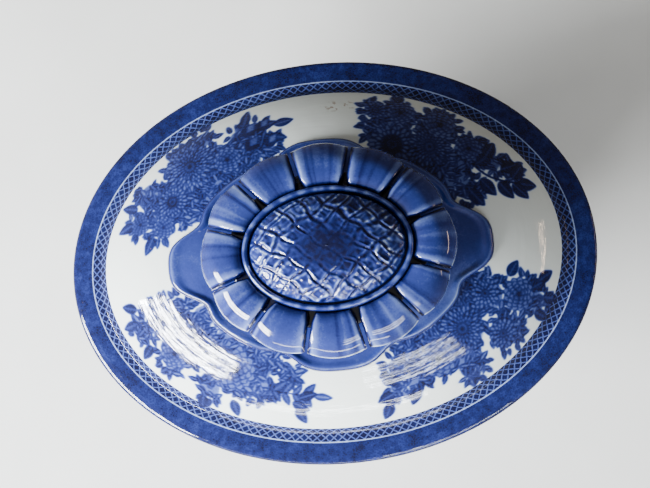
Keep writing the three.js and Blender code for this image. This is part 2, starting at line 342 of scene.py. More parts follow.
class Nodes:
    """Short ways of adding shader nodes."""

    def __init__(self, material):
        material.use_nodes = True
        self.tree = material.node_tree
        self.tree.nodes.clear()

    def add(self, kind, **settings):
        node = self.tree.nodes.new(kind)
        for key, value in settings.items():
            setattr(node, key, value)
        return node

    def link(self, source, target):
        self.tree.links.new(source, target)

    def math(self, operation, first, second=None, third=None):
        node = self.add("ShaderNodeMath", operation=operation)
        for socket, value in zip(node.inputs, (first, second, third)):
            if value is None:
                continue
            if isinstance(value, (int, float)):
                socket.default_value = value
            else:
                self.link(value, socket)
        return node.outputs[0]

    def attribute(self, name):
        return self.add("ShaderNodeAttribute", attribute_name=name).outputs["Fac"]

    def place(self):
        return self.add("ShaderNodeTexCoord").outputs["Object"]

    def noise(self, scale, detail=3.0, roughness=0.55, place=None):
        node = self.add("ShaderNodeTexNoise")
        self.link(place or self.place(), node.inputs["Vector"])
        node.inputs["Scale"].default_value = scale
        node.inputs["Detail"].default_value = detail
        node.inputs["Roughness"].default_value = roughness
        return node.outputs["Fac"]

    def cells(self, scale, feature="DISTANCE_TO_EDGE"):
        node = self.add("ShaderNodeTexVoronoi", feature=feature)
        self.link(self.place(), node.inputs["Vector"])
        node.inputs["Scale"].default_value = scale
        return node.outputs["Distance"]

    def rise(self, value, low, high, bottom=0.0, top=1.0):
        node = self.add("ShaderNodeMapRange", interpolation_type="SMOOTHSTEP")
        self.link(value, node.inputs["Value"])
        for key, number in (("From Min", low), ("From Max", high), ("To Min", bottom), ("To Max", top)):
            node.inputs[key].default_value = number
        return node.outputs["Result"]

    def ramp(self, value, stops):
        node = self.add("ShaderNodeValToRGB")
        self.link(value, node.inputs["Fac"])
        elements = node.color_ramp.elements
        while len(elements) < len(stops):
            elements.new(0.5)
        for element, (position, colour) in zip(elements, stops):
            element.position = position
            element.color = (*colour, 1)
        return node.outputs["Color"]


COBALT = [
    (0.0, (0.76, 0.80, 0.77)),
    (0.09, (0.38, 0.47, 0.66)),
    (0.24, (0.088, 0.130, 0.35)),
    (0.44, (0.021, 0.034, 0.170)),
    (0.68, (0.007, 0.012, 0.085)),
    (0.95, (0.003, 0.004, 0.028)),
]


def glaze_material(name, border=False):
    """Clear glossy glaze over cobalt on white; border adds the rim's printed bands."""
    material = bpy.data.materials.new(name)
    nodes = Nodes(material)
    tone = nodes.attribute("tone")
    if border:
        tone = nodes.math("MAXIMUM", tone, border_tone(nodes))
    drift = nodes.math("MULTIPLY_ADD", nodes.noise(70, 5, 0.65), 0.9, 0.56)
    grain = nodes.math("MULTIPLY_ADD", nodes.noise(900, 2), 0.34, 0.84)
    uneven = nodes.math("MULTIPLY", nodes.math("MULTIPLY", tone, drift), grain)
    cobalt = nodes.ramp(uneven, COBALT)
    # Iron specks in the body, and on the cover some brown age marks at the back
    speck = nodes.rise(nodes.cells(95, "F1"), 0.05, 0.025)
    rare = nodes.rise(nodes.noise(38, 1), 0.66, 0.7)
    brown = nodes.math("MULTIPLY", nodes.math("MULTIPLY", speck, rare), 0.6)
    if border:
        brown = nodes.math("MAXIMUM", brown, age_marks(nodes))
    stain = nodes.add("ShaderNodeMix", data_type="RGBA")
    nodes.link(brown, stain.inputs["Factor"])
    nodes.link(cobalt, stain.inputs["A"])
    stain.inputs["B"].default_value = (0.25, 0.14, 0.05, 1)
    shader = nodes.add("ShaderNodeBsdfPrincipled")
    nodes.link(stain.outputs["Result"], shader.inputs["Base Color"])
    nodes.link(nodes.math("MULTIPLY_ADD", nodes.noise(30, 3), 0.06, 0.05), shader.inputs["Roughness"])
    shader.inputs["IOR"].default_value = 1.52
    shader.inputs["Coat Weight"].default_value = 0.35
    shader.inputs["Coat Roughness"].default_value = 0.03
    # The glaze is never quite level, and on the cover it is streaked along the ovals
    ripple = nodes.math("MULTIPLY", nodes.noise(70, 2), 0.4)
    if border:
        ripple = nodes.math("ADD", ripple, nodes.math("MULTIPLY", oval_streaks(nodes), 0.28))
    bump = nodes.add("ShaderNodeBump")
    bump.inputs["Strength"].default_value = 0.35
    bump.inputs["Distance"].default_value = 0.0016
    nodes.link(ripple, bump.inputs["Height"])
    nodes.link(bump.outputs["Normal"], shader.inputs["Normal"])
    nodes.link(bump.outputs["Normal"], shader.inputs["Coat Normal"])
    output = nodes.add("ShaderNodeOutputMaterial")
    nodes.link(shader.outputs[0], output.inputs["Surface"])
    return material


BAND_INNER = 151.2  # half length of the oval where the dark band ends
LATTICE_OUTER = 150.2
LATTICE_INNER = 140.9
LATTICE_CELLS = 156


def age_marks(nodes):
    """Small brown blotches near one place at the back of the cover."""
    flattened = nodes.add("ShaderNodeVectorMath", operation="MULTIPLY")
    nodes.link(nodes.place(), flattened.inputs[0])
    flattened.inputs[1].default_value = (1, 2.4, 1)
    away = nodes.add("ShaderNodeVectorMath", operation="DISTANCE")
    nodes.link(flattened.outputs["Vector"], away.inputs[0])
    away.inputs[1].default_value = (0.013, 0.2184, 0.166)
    nearby = nodes.rise(away.outputs["Value"], 0.014, 0.006)
    blotch = nodes.rise(nodes.noise(330, 2), 0.54, 0.62)
    return nodes.math("MULTIPLY", nodes.math("MULTIPLY", nearby, blotch), 0.6)


def oval_streaks(nodes):
    """Noise drawn out along the ovals: it changes quickly from one oval to the next."""
    position = nodes.add("ShaderNodeSeparateXYZ")
    nodes.link(nodes.place(), position.inputs[0])
    stretched = nodes.add("ShaderNodeCombineXYZ")
    nodes.link(position.outputs["X"], stretched.inputs["X"])
    nodes.link(position.outputs["Y"], stretched.inputs["Y"])
    nodes.link(nodes.math("MULTIPLY", nodes.attribute("oval"), 0.009), stretched.inputs["Z"])
    return nodes.noise(26, 3, 0.6, stretched.outputs[0])


def border_tone(nodes):
    """The rim's dark celled band, the fine line inside it and the dotted lattice."""
    oval = nodes.attribute("oval")
    position = nodes.add("ShaderNodeSeparateXYZ")
    nodes.link(nodes.place(), position.inputs[0])
    x = nodes.math("DIVIDE", position.outputs["X"], nodes.math("MULTIPLY", oval, MM))
    minor = nodes.math("SUBTRACT", oval, float(OVAL_OFFSET))
    y = nodes.math("DIVIDE", position.outputs["Y"], nodes.math("MULTIPLY", minor, MM))
    turn = nodes.math("ARCTAN2", y, x)
    # Arc length round an oval runs a little ahead of and behind its angle, so this evens the cells
    lag = nodes.math("MULTIPLY", nodes.math("SINE", nodes.math("MULTIPLY", turn, 2.0)), -0.075)
    around = nodes.math("MULTIPLY", nodes.math("ADD", turn, lag), LATTICE_CELLS / (2 * math.pi))
    around = nodes.math("MULTIPLY_ADD", nodes.noise(420, 2), 0.3, around)
    across = nodes.rise(oval, LATTICE_INNER, LATTICE_OUTER)
    across.node.interpolation_type = "LINEAR"

    cell = nodes.math("ABSOLUTE", nodes.math("SUBTRACT", nodes.math("FRACT", around), 0.5))
    row = nodes.math("FRACT", nodes.math("MULTIPLY", across, 1.98))
    level = nodes.math("ABSOLUTE", nodes.math("SUBTRACT", row, 0.5))
    cross = nodes.rise(nodes.math("ABSOLUTE", nodes.math("SUBTRACT", cell, level)), 0.05, 0.16)
    edge_dot = nodes.math("ADD", nodes.math("POWER", cell, 2.0),
                          nodes.math("POWER", nodes.math("SUBTRACT", level, 0.36), 2.0))
    dots = nodes.rise(edge_dot, 0.03, 0.008)
    lattice = nodes.math("MAXIMUM", nodes.math("MULTIPLY_ADD", cross, 0.56, 0.3), dots)
    in_lattice = nodes.math("MULTIPLY", nodes.rise(oval, LATTICE_INNER - 0.5, LATTICE_INNER + 0.2),
                            nodes.rise(oval, LATTICE_OUTER + 0.5, LATTICE_OUTER - 0.1))
    lattice = nodes.math("MULTIPLY", lattice, in_lattice)

    wall = nodes.rise(nodes.cells(620), 0.02, 0.25)
    mottle = nodes.math("MULTIPLY", nodes.rise(nodes.noise(260, 3), 0.35, 0.65), 0.16)
    band = nodes.math("ADD", nodes.math("MULTIPLY_ADD", wall, 0.12, 0.57), mottle)
    in_band = nodes.rise(oval, BAND_INNER - 0.2, BAND_INNER + 0.3)
    line = nodes.math("MULTIPLY", nodes.rise(oval, LATTICE_OUTER, LATTICE_OUTER + 0.3), 0.15)
    rest = nodes.math("MAXIMUM", lattice, line)
    return nodes.math("MAXIMUM", nodes.math("MULTIPLY", band, in_band), rest)


decorated = glaze_material("decorated_glaze", border=True)
glazed = glaze_material("cobalt_glaze")


def floor_material():
    material = bpy.data.materials.new("pale_paper")
    nodes = Nodes(material)
    shader = nodes.add("ShaderNodeBsdfPrincipled")
    paper = nodes.ramp(nodes.noise(9, 3), [(0.3, (0.74, 0.73, 0.70)), (0.7, (0.79, 0.78, 0.75))])
    nodes.link(paper, shader.inputs["Base Color"])
    shader.inputs["Roughness"].default_value = 0.75
    output = nodes.add("ShaderNodeOutputMaterial")
    nodes.link(shader.outputs[0], output.inputs["Surface"])
    return material


# ---------------------------------------------------------------- cover

FINE_COLUMNS = 1200
COARSE_COLUMNS = 240
PAINT_STEP = 0.6
PLAIN_STEP = 1.6
CALYX_HIDES = 78  # half length inside which the calyx covers the dome

STEP_Z = 6
DOME = [(DOME_EDGE, 10), (142, 13.2), (126, 26), (104, 38.5), (76, 47.8), (40, 52.8), (18, 53.8), (0, 54)]
dome_curve = smooth(DOME, 0.5)


def dome_height(a):
    """Height of the dome's outer surface above the rim's underside."""
    return np.interp(a, dome_curve[::-1, 0], dome_curve[::-1, 1])


# Round blobs (x, y, radius) that make up each spray on the cover
BACK_LEFT = [(-80, 61, 18), (-92, 42, 16), (-112, 30, 10), (-99, 26, 10), (-62, 60, 15), (-48, 75, 10),
             (-37, 80, 8), (-33, 70, 10), (-56, 48, 14), (-72, 79, 9), (-106, 47, 11), (-70, 42, 13),
             (-78, 30, 9), (-44, 60, 12)]
BACK_RIGHT = [(44, 66, 15), (34, 86, 9), (50, 82, 12), (71, 71, 14), (62, 53, 15), (89, 55, 12),
              (75, 42, 14), (34, 72, 10), (84, 30, 10), (46, 50, 12), (70, 32, 9), (101, 47, 9), (112, 41, 8)]
FRONT_LEFT = [(-104, -29, 13), (-84, -44, 16), (-64, -62, 16), (-98, -52, 12), (-117, -35, 9),
              (-79, -71, 10), (-48, -72, 12), (-60, -46, 14), (-76, -30, 10), (-42, -58, 12),
              (-90, -22, 8), (-30, -66, 8)]
FRONT_RIGHT = [(88, -32, 13), (70, -49, 16), (110, -33, 12), (98, -54, 13), (57, -65, 14),
               (42, -73, 12), (33, -82, 8), (77, -71, 12), (120, -38, 9), (56, -48, 13), (44, -58, 12),
               (76, -28, 9), (32, -68, 8)]


def cover_decoration(x, y):
    """The four sprays on the cover, in plan."""
    paint = Painting(x, y, 7)

    paint.thicket(BACK_LEFT)
    paint.leaves([(-37, 80, 0.4), (-46, 84, 1.4), (-31, 74, -0.2), (-118, 30, 3.5), (-104, 20, 4.2),
                  (-115, 39, 2.9), (-27, 82, 0.2)],
                 12, 6, 0.7, 0.95, 0.5)
    paint.daisy((-80, 61), 17, 30, 5, eye=0.16)
    paint.daisy((-91, 40), 10, 20, 3, eye=0.75)
    paint.rose((-113, 29), 6)
    paint.rose((-97, 25), 6.5)
    paint.rose((-56, 62), 8)
    for at, radius in (((-46, 76), 5.5), ((-37, 79), 5), ((-44, 66), 5.5), ((-32, 67), 5)):
        paint.bud(at, 0.9, radius * 2.2)

    paint.thicket(BACK_RIGHT, wash=0.2)
    paint.daisy((42, 61), 14, 22, 3, eye=0.95)
    paint.daisy((64, 58), 13, 26, 4, eye=0.16)
    paint.rose((73, 73), 9)
    paint.rose((50, 83), 8)
    paint.rose((88, 56), 8)
    paint.daisy((35, 86), 7, 14, 2)
    stem = [(88, 46), (97, 38), (110, 34), (120, 34)]
    paint.line(stem, 1.1, 0.7, 0.9)
    paint.leaves([(91, 46, 0.5), (106, 42, 0.3), (92, 36, -0.9), (103, 34, -0.9), (115, 33, -0.1),
                  (84, 30, -0.9), (97, 50, 0.9), (112, 36, 0.8), (112, 33, -0.8)],
                 13, 8, 0.78, 0.97, 0.55)

    paint.thicket(FRONT_LEFT)
    paint.daisy((-102, -28), 11, 20, 3)
    paint.daisy((-82, -45), 14, 26, 4, eye=0.2)
    paint.rose((-61, -62), 11)
    paint.rose((-98, -50), 8)
    paint.sprig((-46, -74), -0.35, 30, 4, 9, 0.1)
    paint.leaves([(-30, -84, -0.6), (-26, -82, 0.2), (-28, -88, -1.2), (-120, -30, 3.4),
                  (-119, -22, 2.9), (-112, -44, 3.9), (-84, -76, 4.3), (-66, -80, 4.8)],
                 11, 6, 0.75, 0.96, 0.5)

    paint.thicket(FRONT_RIGHT)
    paint.daisy((72, -50), 14, 26, 4, eye=0.2)
    paint.daisy((87, -31), 9, 16, 3)
    paint.rose((108, -33), 9)
    paint.rose((57, -66), 10)
    paint.daisy((97, -55), 9, 16, 3)
    paint.leaves([(117, -30, 0.4), (124, -36, -0.1), (118, -44, -0.5), (30, -84, 3.6), (34, -78, 2.7),
                  (28, -90, 4.3), (44, -82, 4.4), (122, -26, 0.5), (102, -22, 0.9)],
                 11, 6.5, 0.75, 0.96, 0.5)
    return paint


def make_cover():
    underside = np.vstack([
        smooth([(0, 49.5), (20, 49.2), (56, 46.4), (90, 38), (116, 23.5), (129.5, 11.5)], PLAIN_STEP),
        evenly([(130.5, STEP_Z), (141, STEP_Z), (150, 2.8), (157.5, 0)], PLAIN_STEP),
    ])
    rim = np.vstack([
        evenly([(158.5, 0), (162.2, 0)], 2),
        smooth([(163.2, 0.2), (164.7, 1.3), (165, 3.2), (163.6, 5.6), (159, 7.2)], 0.5),
        smooth([(158, 7.4), (152.5, 8.6), (147, 9.6), (145.8, 9.9)], 1.2),
    ])
    dome = smooth(DOME, PAINT_STEP)
    painted = dome[dome[:, 0] > CALYX_HIDES]
    hidden = evenly(dome[dome[:, 0] <= CALYX_HIDES], 2.5)[:-1]

    rows = [oval_row(0, 0, COVER_Z + underside[0, 1], 1)]
    ovals = [np.zeros(1)]

    def ring(profile, columns):
        for a, z in profile:
            rows.append(oval_row(a, float(cover_minor(a)), COVER_Z + z, columns))
            ovals.append(np.full(columns, a))

    ring(underside[1:], COARSE_COLUMNS)
    ring(rim, COARSE_COLUMNS)
    before = sum(len(row) for row in rows)
    ring(painted, FINE_COLUMNS)
    after = sum(len(row) for row in rows)
    ring(hidden, COARSE_COLUMNS)
    rows.append(oval_row(0, 0, COVER_Z + 54, 1))
    ovals.append(np.zeros(1))

    vertices = np.vstack(rows)
    tone = np.zeros(len(vertices))
    paint = cover_decoration(vertices[before:after, 0], vertices[before:after, 1])
    tone[before:after] = fired(paint, len(painted), FINE_COLUMNS)
    oval = np.concatenate(ovals)
    oval[: sum(len(row) for row in rows[: len(underside)])] = 0
    cover = mesh_piece("cover_glazed", vertices, row_faces(rows), tone, decorated, {"oval": oval})
    finish_piece(cover, "cover", "painted_glaze", "cover_shell")


def make_lathe(name, profile, minor, columns, body, slot, node, tone, poles=False):
    """A smooth oval piece from its profile, closed on itself or ending on the axis."""
    rows = []
    for a, z in profile:
        rows.append(oval_row(a, float(minor(a)), z, columns if a > 0 else 1))
    vertices = np.vstack(rows)
    values = tone(vertices) if callable(tone) else np.full(len(vertices), tone)
    piece = mesh_piece(name, vertices, row_faces(rows, closed=not poles), values, glazed)
    return finish_piece(piece, body, slot, node)


def make_flange():
    profile = np.vstack([
        evenly([(131.5, 5.9), (128.7, -7.6)], 1.5),
        smooth([(128.6, -8.2), (130.2, -9.2), (132.3, -8.6)], 0.5),
        evenly([(132.8, -7.9), (136.5, 5.9)], 1.5),
    ])
    profile[:, 1] += COVER_Z
    make_lathe("flange_glazed", profile, lambda a: a - OVAL_OFFSET + 2.5, COARSE_COLUMNS,
               "cover", "white_glaze", "cover_flange", 0.0)


# ---------------------------------------------------------------- knob

CALYX_LENGTH = 95
CALYX_END_LOBE = 0.12
CALYX_SIDE_LOBE = 0.09
CALYX_COLUMNS = 720
CUP_Z = 76.5
PETALS = 12
END_PETAL = math.radians(36)
PETAL_INNER = 46.6
GROOVE = 1.7


def calyx_outline(t):
    """Half length of the collar's edge at each angle: lobes at its ends and sides, notches beside them."""
    degrees = np.degrees(t)
    from_end = 90 - np.abs(degrees % 180 - 90)
    from_side = 90 - from_end
    lobes = CALYX_END_LOBE * np.exp(-(from_end / 16) ** 4) + CALYX_SIDE_LOBE * np.exp(-(from_side / 16) ** 4)
    notches = 0.03 * (np.exp(-((from_end - 24) / 6) ** 2) + np.exp(-((from_side - 24) / 6) ** 2))
    return CALYX_LENGTH * (1 - CALYX_END_LOBE + lobes - notches)


def make_calyx():
    t = 2 * np.pi * np.arange(CALYX_COLUMNS) / CALYX_COLUMNS
    outline = calyx_outline(t)
    blotch = 0.05 * np.sin(3 * t + 0.7) + 0.05 * np.sin(7 * t + 2.1)

    def row(share, lift):
        a = 24 + (outline - 24) * share
        z = COVER_Z + dome_height(a) + lift
        return np.stack([a * np.cos(t), a * DOME_ASPECT * np.sin(t), z], axis=1)

    rows, tones = [], []
    edge = [(1.0, -0.4), (1.002, 0.9), (1.0, 2.1), (0.992, 3.2), (0.98, 4.0), (0.965, 4.4), (0.95, 4.3)]
    inner = [(share, 4.3 - 1.6 * float(step_up(0.95, 0.88, share))) for share in np.linspace(0.94, 0.0, 46)]
    for share, lift in edge + inner:
        vein = 0.4 * np.cos(8 * t) * float(step_up(0.3, 0.7, share)) * float(step_up(0.96, 0.9, share))
        rows.append(row(share, lift + vein))
        wash = 0.46 + (blotch - 0.07 * np.cos(t)) * share + 0.2 * float(step_up(0.955, 1.0, share))
        tones.append(wash - 0.2 * math.exp(-((share - 0.965) / 0.012) ** 2))
    rows.append(oval_row(0, 0, COVER_Z + 57.6, 1))
    tones.append(np.array([0.45]))
    piece = mesh_piece("calyx_glazed", np.vstack(rows), row_faces(rows), np.concatenate(tones), glazed)
    finish_piece(piece, "cover", "cobalt_wash", "knob_calyx")


def make_stem():
    profile = np.vstack([
        [(0, 57.0)],
        smooth([(31.5, 57.0), (29, 58.6), (27.5, 61), (28, 65), (36, 69), (50, 72.4), (55, 73.8)], 0.8),
        evenly([(54, CUP_Z - 1.8), (46, CUP_Z + 0.2), (40, CUP_Z + 0.2)], 1.5),
        [(0, CUP_Z + 0.2)],
    ])
    profile[:, 1] += COVER_Z
    # The stem is darkened at its top and over the cup's floor, under the petals and at the bottom of the gaps
    # between them: painted shade
    make_lathe("stem_glazed", profile, flower_minor, 180, "cover", "cobalt_dark", "knob_stem",
               lambda v: 0.4 + 0.5 * step_up(COVER_Z + 72, COVER_Z + 75, v[:, 2]), poles=True)


def petal_section():
    """The petal's cross-section along its length: its upper face outwards, then its underside back."""
    upper = smooth([(PETAL_INNER, 79.2), (47.3, 82.6), (50.5, 84.2), (56, 84.1), (61, 82.7), (65.5, 79.6),
                    (69.4, 75), (70.6, 71.6)], 0.75)
    lower = smooth([(69.6, 69.6), (66.5, 70.4), (62, 72.4), (55, 75.1), (51, 76.4),
                    (PETAL_INNER + 0.3, 77)], 1.6)
    return upper, lower


def make_petals():
    upper, lower = petal_section()
    section = np.vstack([upper, lower])
    along = np.concatenate([np.linspace(0, 1, len(upper)), np.full(len(lower), 2.0)])
    up = along <= 1
    across = np.sin(np.linspace(-0.5, 0.5, 45) * np.pi)
    side_petal = (2 * np.pi - 2 * END_PETAL) / (PETALS - 2)
    start = -END_PETAL / 2
    random = np.random.default_rng(3)
    for number in range(PETALS):
        width = END_PETAL if number % (PETALS // 2) == 0 else side_petal
        centre, half = start + width / 2, width / 2
        start += width
        streaks = random.uniform(-0.75, 0.75, 6)
        depths = random.uniform(-0.14, 0.26, 6)
        shade = random.uniform(-0.05, 0.05)
        rows, tones = [], []
        for u in across:
            a = PETAL_INNER + (section[:, 0] - PETAL_INNER) * (1 - 0.1 * u * u)
            # A shallow hollow down the petal, and sides that round down into the grooves
            round_off = (1 - abs(u) ** 9) ** 0.4
            middle = 0.55 * np.interp(a, upper[:, 0], upper[:, 1]) + 0.45 * 75.5
            crown = middle + (section[:, 1] - middle + 0.5 * u * u) * round_off
            z = np.where(up, crown, section[:, 1])
            narrow = 1 - 0.1 * step_up(53, PETAL_INNER, a)
            t = centre + u * narrow * (half - 0.5 * GROOVE / a)
            rows.append(np.stack([a * np.cos(t), flower_minor(a) * np.sin(t), z + COVER_Z], axis=1))
            wash = 0.3 + shade + 0.16 * (1 - u * u)
            for place, depth in zip(streaks, depths):
                wash += depth * math.exp(-((u - place) / 0.07) ** 2)
            # The sides turn dark where they round down into the grooves: partly cobalt pooled there and
            # partly painted shade between the petals
            wash = wash - 0.12 * float(step_up(0.6, 0.85, abs(u))) + 0.7 * float(step_up(0.86, 0.97, abs(u)))
            tip = 0.3 * step_up(0.9, 0.97, along)
            # The inner end of each petal is darker: painted shade in the crevice under the ridge
            heel_shade = 0.3 * step_up(0.2, 0.0, along)
            tones.append(np.where(up, np.clip(wash - tip + heel_shade, 0.06, 0.95), 0.6))
        vertices = np.vstack(rows)
        m = len(section)
        faces = []
        for i in range(len(across) - 1):
            for j in range(m):
                k = (j + 1) % m
                faces.append([i * m + j, i * m + k, (i + 1) * m + k, (i + 1) * m + j])
        faces.append(list(range(m))[::-1])
        last = (len(across) - 1) * m
        faces.append(list(range(last, last + m)))
        name = f"petal_{number + 1:02d}"
        piece = mesh_piece(name + "_glazed", vertices, faces, np.concatenate(tones), glazed)
        finish_piece(piece, "cover", "cobalt_wash", name)


def make_ridge():
    profile = np.vstack([
        evenly([(42.6, CUP_Z + 0.2), (42.6, 82)], 1.5),
        smooth([(42.7, 83), (43.3, 84.7), (44.4, 85.5), (45.6, 84.7), (46.2, 83)], 0.35),
        evenly([(46.2, 82), (46.2, CUP_Z + 0.2)], 1.5),
    ])[::-1]
    profile[:, 1] += COVER_Z

    def tone(v):
        t = np.arctan2(v[:, 1], v[:, 0])
        streak = 0.12 * np.sin(23 * t + 1.3) + 0.1 * np.sin(41 * t + 0.4) * np.sin(5 * t)
        return 0.62 - (0.24 + streak) * step_up(COVER_Z + 83.6, COVER_Z + 85.2, v[:, 2])

    make_lathe("ridge_glazed", profile, flower_minor, 360, "cover", "cobalt_wash", "knob_ridge", tone)


STUD_LENGTH, STUD_WIDTH = 14.5, 12.2  # diagonals of the lattice's cells


def boss_lattice(x, y):
    """Height and tone of the uneven diagonal lattice of studs at points in plan."""
    warp_x = 1.7 * np.sin(0.15 * y + 0.6) + 0.8 * np.sin(0.29 * x + 0.33 * y)
    warp_y = 1.5 * np.sin(0.17 * x + 1.9) + 0.8 * np.sin(0.37 * y - 0.27 * x)
    first = (x + warp_x) / STUD_LENGTH + (y + warp_y) / STUD_WIDTH
    second = (x + warp_x) / STUD_LENGTH - (y + warp_y) / STUD_WIDTH
    cell = np.floor(first) * 7.31 + np.floor(second) * 3.17
    chance = np.abs(np.sin(cell * 12.9898) * 43.7585) % 1
    inner = np.maximum(np.abs(first % 1 - 0.5), np.abs(second % 1 - 0.5))
    stud = step_up(0.5, 0.34, inner)
    dish = step_up(0.34, 0.2, inner)
    rough = np.sin(0.9 * x + 1.3 * np.sin(0.7 * y)) * np.sin(1.1 * y + 1.2 * np.sin(0.8 * x))
    height = (0.55 + 0.5 * chance) * stud - (0.2 + 0.35 * chance) * dish + 0.26 * rough
    tone = 0.8 - (0.5 + 0.12 * chance) * stud + (0.16 + 0.42 * chance) * dish + 0.12 * rough
    # The lattice fades out over the crown, and the crown is painted dark: painted shade on the top of the
    # boss
    outward = step_up(7, 30, np.hypot(x, y / EYE_ASPECT))
    height = height * (0.1 + 0.9 * outward)
    tone = 0.91 + (tone - 0.91) * (0.1 + 0.9 * outward) + 0.08 * rough
    return height, tone


def make_boss():
    """The studded centre: a low dome with the lattice standing on it."""
    columns = 420
    profile = smooth([(42.2, 79), (42, 83), (40, 86.8), (33.5, 91.2), (22, 94.8), (8, 96.4), (0, 96.6)],
                     0.45)[:-1]
    t = 2 * np.pi * np.arange(columns) / columns
    rows, tones = [oval_row(0, 0, COVER_Z + CUP_Z + 0.3, 1)], [np.array([0.9])]
    slope = np.gradient(profile, axis=0)
    slope /= np.linalg.norm(slope, axis=1)[:, None]
    for (a, z), da in zip(profile, slope[:, 0]):
        height, tone = boss_lattice(a * np.cos(t), flower_minor(a) * np.sin(t))
        fade = float(step_up(42.0, 40.8, a))
        height = fade * height
        wide = a - height * 0.5 * (1 - abs(da)) * step_up(40, 42, a)
        top = z + height + COVER_Z
        rows.append(np.stack([wide * np.cos(t), flower_minor(wide) * np.sin(t), top], axis=1))
        tones.append(tone * fade + 0.62 * (1 - fade))
    rows.append(oval_row(0, 0, COVER_Z + 97.6, 1))
    tones.append(np.array([0.55]))
    piece = mesh_piece("boss_glazed", np.vstack(rows), row_faces(rows), np.concatenate(tones), glazed)
    finish_piece(piece, "cover", "cobalt_dark", "knob_boss")


# ---------------------------------------------------------------- bowl

WALL = [(75, 22.3), (89, 28), (109, 46), (121, 72), (124.5, 100), (132, 121), (149, 132.5), (161, 136)]
wall_curve = smooth(WALL, 0.5)
HANDLE_Z = 100


def wall_length(z):
    return np.interp(z, wall_curve[:, 1], wall_curve[:, 0])


def bowl_decoration(x, z):
    """Two sprays on each side of the bowl, in elevation."""
    paint = Painting(x, z, 19)
    for side in (-1, 1):
        paint.thicket([(side * u, v, r) for u, v, r in
                       ((56, 86, 16), (76, 74, 13), (40, 72, 12), (82, 94, 9), (62, 104, 8), (58, 62, 9))])
        paint.daisy((side * 56, 86), 14, 24, 4)
        paint.rose((side * 76, 72), 11)
        paint.rose((side * 38, 70), 9)
        paint.daisy((side * 82, 94), 8, 14, 2)
        inward = math.pi if side > 0 else 0.0
        for at, bend in (((side * 46, 92), -0.35), ((side * 36, 68), 0.35)):
            paint.sprig(at, inward + bend * side, 22)
    return paint


def make_bowl():
    wall = smooth(WALL, 0.75)
    lower = wall[wall[:, 1] < 44]
    painted = wall[(wall[:, 1] >= 44) & (wall[:, 1] < 122)]
    flare = wall[wall[:, 1] >= 122]
    lip = smooth([(161.8, 136.4), (162.8, 138.2), (162, 139.7), (160.4, LEDGE_Z)], 0.5)
    cavity = smooth([(156, LEDGE_Z), (137, 132), (122, 112), (117.5, 88), (108, 56), (86, 33), (66, 28),
                     (0, 28)], 1.8)[:-1]
    fine = 960
    rows = [oval_row(0, 0, 22.3, 1)]

    def ring(profile, columns):
        for a, z in profile:
            rows.append(oval_row(a, bowl_minor(a), z, columns))

    ring(lower, COARSE_COLUMNS)
    before = sum(len(row) for row in rows)
    ring(painted, fine)
    after = sum(len(row) for row in rows)
    ring(flare, COARSE_COLUMNS)
    ring(lip, COARSE_COLUMNS)
    ring(cavity, COARSE_COLUMNS)
    rows.append(oval_row(0, 0, 28, 1))
    vertices = np.vstack(rows)
    x, y, z = vertices[before:after].T
    tone = np.zeros(len(vertices))
    paint = bowl_decoration(np.where(y < 0, x, -x), z)
    tone[before:after] = fired(paint, len(painted), fine)
    outer_rows = rows[: 1 + len(lower) + len(painted) + len(flare) + len(lip)]
    outside = np.arange(len(vertices)) < sum(len(row) for row in outer_rows)
    tone = np.where(outside, np.maximum(tone, 0.66 * step_up(126, 127, vertices[:, 2])), tone)
    oval = np.hypot(vertices[:, 0], vertices[:, 1] / BOWL_ASPECT)
    above_foot = outside & (oval > 76)
    tone = np.where(above_foot, np.maximum(tone, 0.66 * step_up(30, 29, vertices[:, 2])), tone)
    piece = mesh_piece("bowl_glazed", vertices, row_faces(rows), tone, glazed)
    finish_piece(piece, "bowl", "painted_glaze", "bowl_body")


def make_foot():
    profile = np.vstack([
        evenly([(84.4, 0), (90.6, 0)], 2),
        smooth([(91.6, 0.3), (93.5, 2.5), (91.5, 6.5), (84, 12.5), (79.5, 17.5), (79, 22.2)], 0.9),
        evenly([(78, 22.2), (71, 22.2), (73, 14), (84, 0.3)], 2),
    ])

    def tone(v):
        middle = np.interp(v[:, 2], [0, 6, 14, 22], [88, 85, 78, 75])
        outer = np.hypot(v[:, 0], v[:, 1] / BOWL_ASPECT) > middle
        return np.where(outer & (v[:, 2] > 1.2), 0.68 - 0.4 * np.exp(-((v[:, 2] - 15) / 1.2) ** 2), 0.0)

    make_lathe("foot_glazed", profile, bowl_minor, COARSE_COLUMNS, "bowl", "cobalt_dark", "foot_ring", tone)


HANDLE = dict(centre=118, reach=37, half_width=36, rise=4, arc=math.radians(97),
              radius=3.6, gap=0.3, spread=7)


def strap_path(side, phase, count=120):
    full = math.radians(102)
    arc = np.linspace(-HANDLE["arc"], HANDLE["arc"], count)
    along = arc / full
    twist = np.pi * ((along + 1) + phase)
    offset = HANDLE["radius"] + HANDLE["gap"] + HANDLE["spread"] * along ** 4
    reach = HANDLE["reach"] + offset * np.sin(twist)
    return np.stack([
        side * (HANDLE["centre"] + reach * np.cos(arc)),
        (HANDLE["half_width"] + offset * np.sin(twist)) * np.sin(arc),
        HANDLE_Z + HANDLE["rise"] * np.cos(arc) + offset * np.cos(twist),
    ], axis=1)


